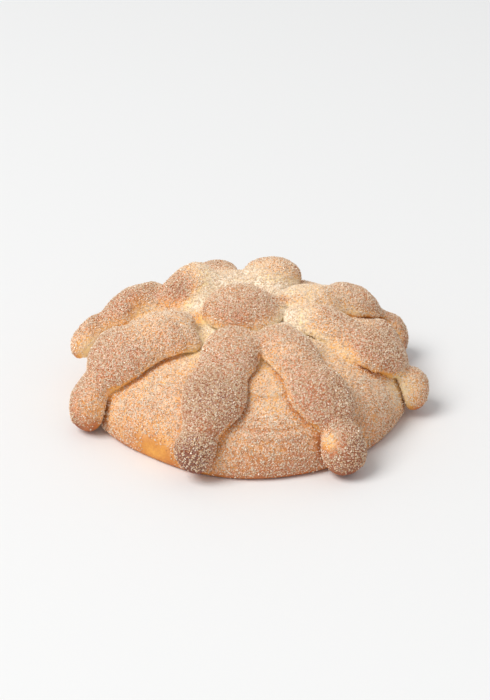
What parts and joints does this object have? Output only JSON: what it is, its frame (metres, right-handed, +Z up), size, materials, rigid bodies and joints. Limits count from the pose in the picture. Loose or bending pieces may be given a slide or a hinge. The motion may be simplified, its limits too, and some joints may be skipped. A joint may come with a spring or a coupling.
{
  "type": "pan de muerto",
  "caption": "Round domed sweet bread with rolled dough bones laid over it from a ball of dough on top, coated in sugar.",
  "frame": {"origin": "on the table, below the middle of the bread's outline", "axes": "+Z up through the ball on top; -Y is the side that the picture was taken from"},
  "size_m": [0.193, 0.1976, 0.0635],
  "materials": {
    "bun_crust": "baked crust, golden at the rim and pale near the top, coated in sugar",
    "bone_crust": "baked crust, brown on the raised lumps and pale in the hollows, coated in sugar",
    "sugar": "loose sugar grains, half clear"
  },
  "bodies": {
    "root": {"bun": "bun_crust", "knob": "bone_crust", "bone_front_left": "bone_crust", "bone_front_right": "bone_crust", "bone_right": "bone_crust", "bone_right_back": "bone_crust", "bone_back_right": "bone_crust", "bone_back_left": "bone_crust", "bone_left_back": "bone_crust", "bone_left": "bone_crust"}
  },
  "joints": []
}
